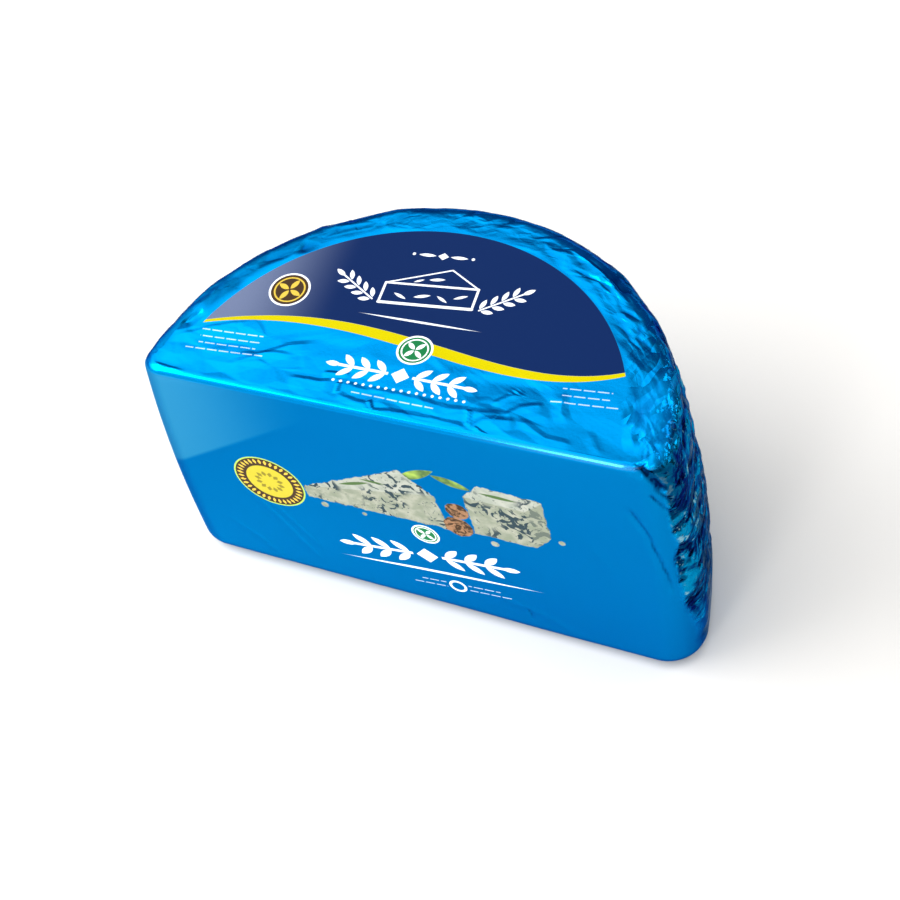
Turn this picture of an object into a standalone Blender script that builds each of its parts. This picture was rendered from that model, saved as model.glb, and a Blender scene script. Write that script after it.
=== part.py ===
"""Half of a wheel of blue cheese, cut down the middle and shut in printed foil.

The half wheel lies on its flat D-shaped base. The cut face is the flat front, at -Y, and the round
rim is at the back. The foil hides the cheese, so the pack is one closed solid: a stack of D-shaped
levels whose edges roll over into the top and the base, with the foil's pleats and dents on its rim.

Units are metres, +Z is up, and the origin is at the middle of the base's bounding rectangle.
"""

import math

import bmesh
import bpy
import numpy as np

# Driving sizes
WHEEL_RADIUS = 0.095  # half way up the rim, before the bulge
HEIGHT = 0.1124  # above the middle of the base
TOP_RISE_RIGHT = 0.030  # how much taller the half wheel gets to the right, a radius away, as a share
TOP_RISE_BACK = 0.003  # and towards the back
TOP_RISE_MIDDLE = 0.45  # a top this far back, as a share of the radius, has the height above
RIM_TAPER = 0.111  # the base's radius less the top's, as a share of the wheel's
RIM_BULGE = 0.026  # how far the rim swells half way up, as a share of the radius
FRONT_OFFSET = 0.0061  # the cut misses the wheel's middle by this much at the base
FRONT_LEAN = 0.0036  # and by this much less at the top, as the cut face leans back
CORNER_RADIUS_BASE = 0.0145  # upright edges between the cut face and the rim
CORNER_RADIUS_TOP = 0.0091
BASE_EDGE_RADIUS = 0.0076  # roll between the sides and the base
TOP_EDGE_RADIUS_RIM = 0.0056  # roll between the rim and the top
TOP_EDGE_RADIUS_FRONT = 0.0030  # tight fold between the cut face and the top

# The foil's relief
PLEAT_COUNT = 23  # upright pleats round the rim
PLEAT_DEPTH = 0.0009
PLEAT_SLANT = 2.1  # radians that a pleat's wave drifts from base to top
DENT_WAVES = 5
DENT_DEPTH = 0.0011
DENT_FIRST_COUNT = 3.0  # waves round the rim of the widest dent
DENT_GROWTH = 1.62  # each further dent wave is this much finer
DENT_DECAY = 1.5  # dent wave n is DENT_DEPTH / (n + this) deep
DENT_SHIFT = 2.4  # radians of phase between one dent wave and the next
DENT_SLANT = 2.0  # radians round the rim that a dent drifts from base to top
PRESSED_RIDGE = 0.4  # the highest a ridge stands, as a share of DENT_DEPTH
RELIEF_RISE = 8.0  # the relief fades in over one part in this of the height, at base and top
LAP_ANGLE = 1.95  # radians round the rim to where the sheet's end laps over its start
LAP_SLANT = 0.30  # radians that the lap drifts from base to top
LAP_HEIGHT = 0.0008  # folded edge of the lap
LAP_FADE = 0.024  # length over which the lap blends back into the rim
TOP_SAG = 0.0008  # the top sinks this much in its middle
TOP_MIDDLE = 0.42  # where that middle lies, back from the wheel's own, as a share of the radius

# Facets
FRONT_STEPS = 24
CORNER_STEPS = 7
RIM_STEPS = 96
ROLL_STEPS = 5  # levels in each rolled edge
SIDE_STEPS = 16  # levels between the rolled edges
TOP_RINGS = (0.93, 0.80, 0.55, 0.25)  # shrinking outlines that close the top
SHARP_DEGREES = 40  # edges that turn more than this are shaded sharp

FOIL_COLOUR = (0.0, 0.23, 0.68, 1.0)
FOIL_ROUGHNESS = 0.28
FOIL_METALLIC = 0.85


def clear_scene():
    """Removes whatever the scene holds."""
    for thing in list(bpy.data.objects):
        bpy.data.objects.remove(thing, do_unlink=True)


def level_radius(share):
    """Rim radius at a share of the height: tapered towards the top, swollen half way up."""
    return WHEEL_RADIUS * (1 + RIM_TAPER * (0.5 - share) + RIM_BULGE * (1 - (2 * share - 1) ** 2))


def plan(share):
    """Outline at a share of the height, anticlockwise from the front's left end.

    Gives the points, their outward normals, and how much of a rim each point is, from 0 on the cut
    face to 1 on the rim.
    """
    radius = level_radius(share)
    front = -FRONT_OFFSET + FRONT_LEAN * share
    corner = CORNER_RADIUS_BASE + (CORNER_RADIUS_TOP - CORNER_RADIUS_BASE) * share
    centre_y = front + corner
    centre_x = math.sqrt((radius - corner) ** 2 - centre_y**2)
    start = math.atan2(centre_y, centre_x)

    front_x = np.linspace(-centre_x, centre_x, FRONT_STEPS + 1)[1:-1]
    turn = np.linspace(-math.pi / 2, start, CORNER_STEPS + 1)
    sweep = np.linspace(start, math.pi - start, RIM_STEPS + 1)[1:-1]
    back_turn = np.linspace(math.pi - start, 1.5 * math.pi, CORNER_STEPS + 1)

    angle = np.concatenate([np.full(front_x.size, -math.pi / 2), turn, sweep, back_turn])
    normal = np.stack([np.cos(angle), np.sin(angle)], axis=1)
    points = np.concatenate(
        [
            np.stack([front_x, np.full(front_x.size, front)], axis=1),
            np.array([centre_x, centre_y]) + corner * normal[front_x.size : front_x.size + turn.size],
            radius * np.stack([np.cos(sweep), np.sin(sweep)], axis=1),
            np.array([-centre_x, centre_y]) + corner * normal[-back_turn.size :],
        ]
    )
    rimness = np.concatenate(
        [
            np.zeros(front_x.size),
            np.linspace(0, 1, turn.size),
            np.ones(sweep.size),
            np.linspace(1, 0, back_turn.size),
        ]
    )
    return points, normal, rimness


def roll_inset(depth, edge):
    """How far in a rolled edge of radius edge has come, depth below the flat it rolls into."""
    left = np.clip(edge - depth, 0, None)
    return edge - np.sqrt(np.clip(edge**2 - left**2, 0, None))


def triangle_wave(phase):
    """Straight-sided wave between -1 and 1, with the sharp crests of folded foil."""
    return 2 * np.abs((phase / math.pi) % 2 - 1) - 1


def lap_relief(round_angle, share):
    """Height of the lap: a step up at the sheet's folded edge, then a slow fall along the rim."""
    past_edge = WHEEL_RADIUS * (round_angle - LAP_ANGLE - LAP_SLANT * (share - 0.5))
    return LAP_HEIGHT * np.where(past_edge > 0, np.clip(1 - past_edge / LAP_FADE, 0, 1), 0)


def foil_relief(points, share, rimness):
    """Height of the pleats, dents and lap on the rim, which fade out on the cut face."""
    round_angle = np.arctan2(points[:, 1], points[:, 0])
    pleats = triangle_wave(PLEAT_COUNT * round_angle + PLEAT_SLANT * share)
    relief = PLEAT_DEPTH * pleats * abs(2 * share - 1)
    for wave in range(DENT_WAVES):
        count = DENT_FIRST_COUNT * DENT_GROWTH**wave
        along = count * round_angle + DENT_SHIFT * wave
        up = count * DENT_SLANT * share * (-1) ** wave
        relief = relief + DENT_DEPTH / (wave + DENT_DECAY) * triangle_wave(along + up)
    pressed = np.clip(relief, None, PRESSED_RIDGE * DENT_DEPTH) + lap_relief(round_angle, share)
    fade = min(1.0, RELIEF_RISE * share, RELIEF_RISE * (1 - share))
    return pressed * rimness**2 * fade


def level_height(points, share):
    """Height of a level's points: the top isn't quite level, and the levels share the slope."""
    right = points[:, 0] / WHEEL_RADIUS
    back = points[:, 1] / WHEEL_RADIUS
    return share * HEIGHT * (1 + TOP_RISE_RIGHT * right + TOP_RISE_BACK * (back - TOP_RISE_MIDDLE))


def level_shares():
    """Shares of the height at which the levels lie, close together in the rolled edges."""
    quarter = np.linspace(0, math.pi / 2, ROLL_STEPS + 1)
    base = BASE_EDGE_RADIUS * (1 - np.cos(quarter)) / HEIGHT
    top = 1 - TOP_EDGE_RADIUS_RIM * (1 - np.cos(quarter[::-1])) / HEIGHT
    side = np.linspace(base[-1], top[0], SIDE_STEPS + 1)[1:-1]
    return np.concatenate([base, side, top])


def level(share):
    """One D-shaped level of the solid, with its rolled edges and the foil's relief."""
    points, normal, rimness = plan(share)
    top_edge = TOP_EDGE_RADIUS_FRONT + (TOP_EDGE_RADIUS_RIM - TOP_EDGE_RADIUS_FRONT) * rimness
    inset = roll_inset(share * HEIGHT, BASE_EDGE_RADIUS) + roll_inset((1 - share) * HEIGHT, top_edge)
    moved = points + normal * (foil_relief(points, share, rimness) - inset)[:, None]
    return np.column_stack([moved, level_height(moved, share)])


def top_ring(edge, shrink):
    """A smaller outline on the top, drawn in towards its middle, where the top sags a little."""
    middle = np.array([0.0, TOP_MIDDLE * WHEEL_RADIUS])
    flat = middle + shrink * (edge[:, :2] - middle)
    height = level_height(flat, 1.0) - TOP_SAG * (1 - shrink**2)
    return np.column_stack([flat, height])


def half_wheel_mesh():
    """The closed solid: levels joined by quads, a flat base and a gently sagging top."""
    rings = [level(share) for share in level_shares()]
    rings += [top_ring(rings[-1], shrink) for shrink in TOP_RINGS]
    everything = np.concatenate(rings)[:, 1]
    shift = np.array([0.0, (everything.min() + everything.max()) / 2, 0.0])

    shape = bmesh.new()
    loops = [[shape.verts.new(point - shift) for point in ring] for ring in rings]
    for low, high in zip(loops, loops[1:]):
        for a, b, c, d in zip(low, low[1:] + low[:1], high[1:] + high[:1], high):
            shape.faces.new((a, b, c, d))
    shape.faces.new(reversed(loops[0]))
    shape.faces.new(loops[-1])
    bmesh.ops.triangulate(shape, faces=shape.faces[:])
    bmesh.ops.recalc_face_normals(shape, faces=shape.faces[:])
    mesh = bpy.data.meshes.new("wrapped_half_wheel")
    shape.to_mesh(mesh)
    shape.free()
    mesh.shade_smooth()
    mesh.set_sharp_from_angle(angle=math.radians(SHARP_DEGREES))
    return mesh


def foil_material():
    """Blue lacquered foil."""
    material = bpy.data.materials.new("blue_foil")
    material.use_nodes = True
    shader = material.node_tree.nodes["Principled BSDF"]
    shader.inputs["Base Color"].default_value = FOIL_COLOUR
    shader.inputs["Roughness"].default_value = FOIL_ROUGHNESS
    shader.inputs["Metallic"].default_value = FOIL_METALLIC
    return material


def main():
    clear_scene()
    mesh = half_wheel_mesh()
    mesh.materials.append(foil_material())
    half_wheel = bpy.data.objects.new("wrapped_half_wheel", mesh)
    bpy.context.scene.collection.objects.link(half_wheel)


main()
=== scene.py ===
"""Looks of a half wheel of blue cheese shut in printed foil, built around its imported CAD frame.

One sheet of foil wraps the half wheel. Its shape is a stack of D-shaped outlines, with crumples, creases
and folds as heights above it, cut into four panels: the top and the front, which carry print, the
crumpled rim, and the base. Shapes and the studio are in metres; print and crumples are in millimetres.
"""

import logging
import math
from dataclasses import dataclass, replace
from enum import Enum
from functools import reduce
from typing import Any, Callable, Mapping, Union

import bpy
import numpy as np
from mathutils import Matrix, Vector


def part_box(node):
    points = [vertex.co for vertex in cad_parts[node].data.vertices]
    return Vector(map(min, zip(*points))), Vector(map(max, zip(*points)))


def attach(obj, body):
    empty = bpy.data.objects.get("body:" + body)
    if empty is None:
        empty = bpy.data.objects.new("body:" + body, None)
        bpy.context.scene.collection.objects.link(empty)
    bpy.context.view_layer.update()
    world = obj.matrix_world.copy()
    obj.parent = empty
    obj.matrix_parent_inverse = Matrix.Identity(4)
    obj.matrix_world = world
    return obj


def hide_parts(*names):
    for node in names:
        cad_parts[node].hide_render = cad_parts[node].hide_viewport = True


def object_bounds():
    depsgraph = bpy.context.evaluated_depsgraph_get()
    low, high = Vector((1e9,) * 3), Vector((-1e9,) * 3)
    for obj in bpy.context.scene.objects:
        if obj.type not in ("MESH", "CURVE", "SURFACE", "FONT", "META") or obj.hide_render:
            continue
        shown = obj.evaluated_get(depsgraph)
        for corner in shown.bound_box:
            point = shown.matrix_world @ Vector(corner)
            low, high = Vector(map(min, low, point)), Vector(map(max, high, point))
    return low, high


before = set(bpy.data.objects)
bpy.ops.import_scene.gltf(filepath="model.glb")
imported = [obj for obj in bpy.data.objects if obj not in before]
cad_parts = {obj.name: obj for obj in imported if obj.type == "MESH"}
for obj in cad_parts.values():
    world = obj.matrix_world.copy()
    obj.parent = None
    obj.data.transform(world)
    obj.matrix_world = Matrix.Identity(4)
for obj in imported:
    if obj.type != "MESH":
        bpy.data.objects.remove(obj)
CAD_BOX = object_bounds()

NODE = "wrapped_half_wheel"
BODY = "root"
MM = 0.001

Value = Union["Wire", float]
Colour = tuple[float, float, float]
Pair = tuple[float, float]

log = logging.getLogger("half_wheel")


def smooth(low: float, high: Union[float, np.ndarray], value: np.ndarray) -> np.ndarray:
    """A smooth S step of value, from 0 at low to 1 at high."""
    share = np.clip((value - low) / (high - low), 0, 1)
    return share * share * (3 - 2 * share)


def new_object(name: str, data: bpy.types.ID) -> bpy.types.Object:
    """Puts a new object into the scene.

    Args:
        name: Its name.
        data: Its mesh, light or camera.

    Returns:
        The object.
    """
    thing = bpy.data.objects.new(name, data)
    bpy.context.scene.collection.objects.link(thing)
    return thing


# --- Shape ---


@dataclass(frozen=True)
class HalfWheel:
    """Driving sizes of the wrapped half wheel: the CAD part's, but for a sharper fold at the front."""

    radius: float = 0.095
    height: float = 0.1124
    rise_right: float = 0.030
    rise_back: float = 0.003
    rise_middle: float = 0.45  # where the top has the height above, back from the middle, in radii
    taper: float = 0.111
    bulge: float = 0.026
    front_offset: float = 0.0061
    front_lean: float = 0.0036
    corner_base: float = 0.0145
    corner_top: float = 0.0091
    base_edge: float = 0.0076
    top_edge_rim: float = 0.0056
    top_edge_front: float = 0.0015
    top_sag: float = 0.0008
    middle_back: float = 0.42  # where the rings that close the top meet, in radii

    def level_radius(self, share: np.ndarray) -> np.ndarray:
        """Rim radius at a share of the height: a straight taper plus a parabola's swell."""
        swell = self.bulge * (1 - (2 * share - 1) ** 2)
        return self.radius * (1 + self.taper * (0.5 - share) + swell)

    def roll_inset(self, depth: np.ndarray, edge: np.ndarray) -> np.ndarray:
        """How far in a quarter-round edge has come, depth below the flat that it rolls into."""
        left = np.clip(edge - depth, 0, None)
        return edge - np.sqrt(np.clip(edge**2 - left**2, 0, None))

    def level_height(self, x: np.ndarray, y: np.ndarray, share: np.ndarray) -> np.ndarray:
        """Height of a level: its share of the whole, tilted as the top is."""
        tilt = self.rise_right * x / self.radius + self.rise_back * (y / self.radius - self.rise_middle)
        return share * self.height * (1 + tilt)


@dataclass(frozen=True)
class WrapGrid:
    """The bare surface under the crumples: rings of one outline, from the base's middle to the top's.

    Attributes:
        point: Points, rings x columns x 3, in the row frame.
        around: Length round the outline at mid height, in mm, for each column.
        run: Length up the column from mid height, in mm.
        swing: Degrees that the outline's normal has turned from the front's, 0 on the cut face.
        share: Share of the height, 0 on the base and 1 on the top.
        shrink: How far a ring of the top or base has drawn in: 1 at its edge, 0 at the middle.
        side_start: First ring of the upright side.
        top_start: First ring of the top.
        front_columns: First and last column of the front panel.
    """

    point: np.ndarray
    around: np.ndarray
    run: np.ndarray
    swing: np.ndarray
    share: np.ndarray
    shrink: np.ndarray
    side_start: int
    top_start: int
    front_columns: tuple[int, int]


@dataclass(frozen=True)
class WrapBuilder:
    """Works out the bare surface on a grid of rings and columns."""

    wheel: HalfWheel = HalfWheel()
    front_steps: int = 250
    corner_steps: int = 32
    rim_steps: int = 470
    base_rings: int = 34
    base_roll_rings: int = 15
    side_rings: int = 152
    top_roll_rings: int = 13
    top_dense_rings: int = 64
    top_sparse_rings: int = 22
    dense_to: float = 0.60  # the top's dense rings reach this far in
    pole: float = 0.03  # the last ring before the middle point
    panel_corner: float = 0.72  # share of each corner that belongs to the front panel

    def levels(self) -> np.ndarray:
        """Spaces the levels evenly along the quarter-round edges and up the side.

        Returns:
            Shares of the height.
        """
        wheel = self.wheel
        base = np.linspace(0, math.pi / 2, self.base_roll_rings + 1)
        top = np.linspace(math.pi / 2, 0, self.top_roll_rings + 1)
        low = wheel.base_edge * (1 - np.cos(base)) / wheel.height
        high = 1 - wheel.top_edge_rim * (1 - np.cos(top)) / wheel.height
        return np.concatenate([low, np.linspace(low[-1], high[0], self.side_rings + 1)[1:-1], high])

    def outline(self, share: np.ndarray) -> tuple[np.ndarray, ...]:
        """D-shaped outlines, one for each share of the height.

        The cut face is a straight line, each corner a quarter round, and the rim an arc about the
        wheel's middle. A column keeps its share of its stretch from level to level.

        Args:
            share: Shares of the height.

        Returns:
            Points' x and y, the direction of their outward normal in radians, and how much of a
            rim each is, from 0 on the cut face to 1 on the rim; each is levels x columns.
        """
        wheel = self.wheel
        share = share[:, None]
        radius = wheel.level_radius(share)
        front = -wheel.front_offset + wheel.front_lean * share
        corner = wheel.corner_base + (wheel.corner_top - wheel.corner_base) * share
        centre_y = front + corner
        centre_x = np.sqrt((radius - corner) ** 2 - centre_y**2)
        start = np.arctan2(centre_y, centre_x)

        level = np.ones_like(share)
        across = level * np.linspace(-1, 1, self.front_steps + 1)[None, 1:-1]
        turn = level * np.linspace(0, 1, self.corner_steps + 1)[None]
        sweep = level * np.linspace(0, 1, self.rim_steps + 1)[None, 1:-1]
        right = -math.pi / 2 + turn * (start + math.pi / 2)
        rim = start + sweep * (math.pi - 2 * start)
        left = math.pi - right[:, ::-1]
        rounds = (
            (centre_x, centre_y, corner, right),
            (0, 0, radius, rim),
            (-centre_x, centre_y, corner, left),
        )
        x = [across * centre_x] + [middle + size * np.cos(angle) for middle, _, size, angle in rounds]
        y = [across * 0 + front] + [middle + size * np.sin(angle) for _, middle, size, angle in rounds]
        angle = [across * 0 - math.pi / 2, right, rim, left]
        rimness = [across * 0, turn, sweep * 0 + 1, turn[:, ::-1]]
        return tuple(np.concatenate(part, axis=1) for part in (x, y, angle, rimness))

    def build(self) -> WrapGrid:
        """Stacks the rings: the base's, drawn out from its middle, the side's, and the top's.

        Returns:
            The bare surface.
        """
        wheel = self.wheel
        share = self.levels()
        x, y, angle, rimness = self.outline(share)
        depth = share[:, None] * wheel.height
        edge = wheel.top_edge_front + (wheel.top_edge_rim - wheel.top_edge_front) * rimness
        inset = wheel.roll_inset(depth, wheel.base_edge) + wheel.roll_inset(wheel.height - depth, edge)
        x = x - inset * np.cos(angle)
        y = y - inset * np.sin(angle)
        side = np.stack([x, y, wheel.level_height(x, y, share[:, None])], axis=2)

        dense = np.linspace(1, self.dense_to, self.top_dense_rings + 1)[1:]
        sparse = np.linspace(self.dense_to, self.pole, self.top_sparse_rings + 1)[1:]
        top_shrink = np.concatenate([dense, sparse])
        base_shrink = np.linspace(self.pole, 1, self.base_rings + 1)[:-1]
        middle = np.array([0, wheel.middle_back * wheel.radius])
        top = middle + top_shrink[:, None, None] * (side[-1, :, :2] - middle)
        base = middle + base_shrink[:, None, None] * (side[0, :, :2] - middle)
        sag = wheel.top_sag * (1 - top_shrink[:, None] ** 2)
        height = wheel.level_height(top[:, :, 0], top[:, :, 1], 1.0) - sag
        top = np.concatenate([top, height[:, :, None]], axis=2)
        base = np.concatenate([base, 0 * base[:, :, :1]], axis=2)
        point = np.concatenate([base, side, top])

        step = np.linalg.norm(np.diff(point, axis=0), axis=2)
        run = np.vstack([np.zeros(point.shape[1]), np.cumsum(step, axis=0)]) / MM
        middle_ring = len(base) + len(share) // 2
        ring = point[middle_ring]
        degrees = np.degrees(angle) + 90
        swing = np.minimum(degrees, 360 - degrees)
        panel = round(self.corner_steps * self.panel_corner)
        return WrapGrid(
            point=point,
            around=np.cumsum(np.linalg.norm(ring - np.roll(ring, 1, axis=0), axis=1)) / MM,
            run=run - run[middle_ring],
            swing=np.pad(swing, ((len(base), len(top)), (0, 0)), mode="edge"),
            share=np.concatenate([0 * base_shrink, share, 0 * top_shrink + 1])[:, None],
            shrink=np.concatenate([base_shrink, 0 * share + 1, top_shrink])[:, None],
            side_start=len(base),
            top_start=len(base) + len(share) - 1,
            front_columns=(-panel, self.front_steps - 1 + panel),
        )


def surface_normals(point: np.ndarray) -> np.ndarray:
    """Outward unit normals of rings of points: the cross product of the slopes round and up the grid."""
    normal = np.cross(np.roll(point, -1, axis=1) - np.roll(point, 1, axis=1), np.gradient(point, axis=0))
    return normal / np.linalg.norm(normal, axis=2, keepdims=True)


# --- Crumples ---


@dataclass(frozen=True)
class Creasing:
    """Height fields of handled foil, on the length round the outline and the run up the surface, in mm.

    Every field is made of random heights on a lattice, which fits the outline's length a whole number
    of times, so that a field meets itself where the outline closes. The seed that a method takes is
    added to the foil's own.
    """

    period: float
    own_seed: int
    around: np.ndarray
    run: np.ndarray
    rows: int = 512

    def on(self, around: np.ndarray, run: np.ndarray) -> "Creasing":
        """The same lattices on other coordinates."""
        return replace(self, around=around, run=run)

    def slanted(self, slant: float) -> "Creasing":
        """The same lattices with their columns leaning by slant."""
        return self.on(self.around + slant * self.run, self.run)

    def _cells(self, wave: Pair, seed: int) -> tuple[Any, ...]:
        """Looks up the lattice cell of each point.

        Args:
            wave: Cell size round and up, in mm.
            seed: Seed of the random numbers.

        Returns:
            Their source, the lattice's columns, and each point's place and cell, counted in cells.
        """
        columns = max(3, round(self.period / wave[0]))
        a = self.around / self.period * columns
        b = self.run / wave[1] + self.rows / 2
        source = np.random.default_rng(self.own_seed + seed)
        return source, columns, a, b, np.floor(a).astype(int), np.floor(b).astype(int)

    def _lattice(self, wave: Pair, seed: int) -> tuple[np.ndarray, ...]:
        """Draws the lattice's random heights.

        Args:
            wave: Cell size round and up, in mm.
            seed: Seed of the heights.

        Returns:
            Heights at the corners of each point's cell, the two shares across the cell, and a
            random choice of the cell's diagonal.
        """
        source, columns, a, b, i, j = self._cells(wave, seed)
        heights = source.uniform(-1, 1, (columns, self.rows))
        diagonals = source.uniform(0, 1, (columns, self.rows)) > 0.5
        near, far, low, high = i % columns, (i + 1) % columns, j % self.rows, (j + 1) % self.rows
        corners = (heights[near, low], heights[far, low], heights[near, high], heights[far, high])
        return *corners, a - i, b - j, diagonals[near, low]

    def facets(self, wave: Pair, seed: int) -> np.ndarray:
        """Flat three-cornered facets with sharp folds between, as pressed foil has.

        Each cell is cut by one of its diagonals into two triangles, and the height is linear on
        each triangle.

        Args:
            wave: Cell size round and up, in mm.
            seed: Seed of the heights.

        Returns:
            Heights from -1 to 1.
        """
        h00, h10, h01, h11, f, g, falling = self._lattice(wave, seed)
        rising_low = h00 + f * (h10 - h00) + g * (h11 - h10)
        rising_high = h00 + g * (h01 - h00) + f * (h11 - h01)
        falling_low = h00 + f * (h10 - h00) + g * (h01 - h00)
        falling_high = h11 + (1 - f) * (h01 - h11) + (1 - g) * (h10 - h11)
        rising = np.where(f > g, rising_low, rising_high)
        return np.where(falling, np.where(f + g < 1, falling_low, falling_high), rising)

    def swell(self, wave: Pair, seed: int) -> np.ndarray:
        """Soft rises and hollows: the lattice's heights blended by a smooth S across each cell.

        Args:
            wave: Cell size round and up, in mm.
            seed: Seed of the heights.

        Returns:
            Heights from -1 to 1.
        """
        h00, h10, h01, h11, f, g, _ = self._lattice(wave, seed)
        f, g = (share**3 * (share * (6 * share - 15) + 10) for share in (f, g))
        low = h00 + f * (h10 - h00)
        return low + g * (h01 + f * (h11 - h01) - low)

    def crushed(self, wave: Pair, seed: int) -> np.ndarray:
        """Crushed foil: many-sided dents and rises, with flat facets and sharp folds between.

        One random point lies in each cell. The height is the squared distance to the second nearest
        point less that to the nearest, which is flat on each facet and 0 where two dents meet, times
        a random size and sign of the nearest point's own.

        Args:
            wave: Cell size round and up, in mm.
            seed: Seed of the points.

        Returns:
            Heights, mostly from -0.7 to 0.7.
        """
        source, columns, a, b, i, j = self._cells(wave, seed)
        scattered = source.uniform(0, 1, (columns, self.rows, 3))
        nearest = np.full(a.shape, 9.0)
        second, size = nearest.copy(), 0 * nearest
        for beside, above in np.ndindex(3, 3):
            column, row = i + beside - 1, j + above - 1
            across, up, own = np.moveaxis(scattered[column % columns, row % self.rows], -1, 0)
            distance = (column + across - a) ** 2 + (row + up - b) ** 2
            closer = distance < nearest
            second = np.where(closer, nearest, np.minimum(second, distance))
            size = np.where(closer, 2 * own - 1, size)
            nearest = np.where(closer, distance, nearest)
        return size * (second - nearest)

    def bent(self, wave: float, reach: float, seed: int) -> "Creasing":
        """Pushes the coordinates about, so that the lattices lose their straight rows.

        The push is itself made of facets, so a straight crease stays made of straight pieces.

        Args:
            wave: Size of the pushed patches, in mm.
            reach: The furthest push, in mm.
            seed: Seed of the pushes.

        Returns:
            The same lattices on the pushed coordinates.
        """
        push, lift = self.facets((wave, wave), seed), self.facets((wave, wave), seed + 1)
        return self.on(self.around + reach * push, self.run + reach * lift)


@dataclass(frozen=True)
class Fold:
    """One sharp crease or tuck, on a panel's two coordinates in mm.

    Attributes:
        path: Its points, as one row of first and second coordinates in turn.
        height: Height of its line, below 0 for one that is pressed in.
        left: How far it reaches to the left of its path.
        right: How far it reaches to the right.
        line: Half the width of the dark line of painted shade along the crease.
        fade: Share of its length over which it fades in and out.
    """

    path: tuple[float, ...]
    height: float
    left: float
    right: float
    line: float = 0.0
    fade: float = 0.3

    def relief(self, across: np.ndarray, up: np.ndarray) -> tuple[np.ndarray, np.ndarray]:
        """Height of the crease, which falls off straight to both sides, and its dark line.

        Args:
            across: The panel's first coordinate.
            up: The panel's second coordinate.

        Returns:
            Height in mm, and a mark that is 1 on the dark line.
        """
        nearest = np.full(across.shape, 1e3)
        along, side = np.zeros(across.shape), np.zeros(across.shape)
        ends = np.array(self.path, float).reshape(-1, 2)
        lengths = np.linalg.norm(np.diff(ends, axis=0), axis=1)
        gone = 0.0
        for start, way, length in zip(ends, np.diff(ends, axis=0) / lengths[:, None], lengths):
            x, y = across - start[0], up - start[1]
            place = np.clip(x * way[0] + y * way[1], 0, length)
            distance = np.hypot(x - place * way[0], y - place * way[1])
            closer = distance < nearest
            nearest = np.where(closer, distance, nearest)
            side = np.where(closer, way[0] * y - way[1] * x, side)
            along = np.where(closer, gone + place, along)
            gone += length
        share = along / gone
        fade = smooth(0, self.fade, share) * smooth(0, self.fade, 1 - share)
        wedge = np.clip(1 - nearest / np.where(side > 0, self.left, self.right), 0, 1)
        mark = np.clip(1.5 - nearest / max(self.line, 0.1), 0, 1) * (self.line > 0)
        return self.height * wedge * fade, mark * fade


FRONT_FOLDS = [Fold(*row) for row in (
    ((78.3, 95.5, 81, 89, 84.5, 81.3, 89.6, 61.1, 91.9, 48.8), -0.4, 1, 2.4, 0.32, 0.12),
    ((81.5, 116, 84, 112.6, 86.2, 108.9, 89, 103), -1.4, 1.4, 2, 1, 0.08),
    ((84.8, 103.6, 87.7, 97.9, 89.3, 94.9, 91.6, 91), -0.4, 0.9, 1.2, 0.32, 0.12),
    ((86.2, 106, 88.7, 101, 91, 96), -0.4, 0.9, 1, 0.3, 0.12),
    ((39.2, 19, 39.8, 16.3, 41.3, 10), -0.22, 1.2, 1.2, 0.3, 0.2),
    ((-62, 55, -48, 36, -38, 20), 0.1, 1, 2.5),
    ((20, 24, 46, 16, 66, 3), 0.1, 3, 3),
    ((60, 76, 74, 52, 80, 30), 0.07, 4, 4),
    ((-80, 30, -66, 18, -58, 5), 0.1, 2, 3),
    ((-66.6, 60.3, -58.8, 45.1, -48.2, 25.9, -37.8, 8.1), 0.12, 0.8, 4),
)]
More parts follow.
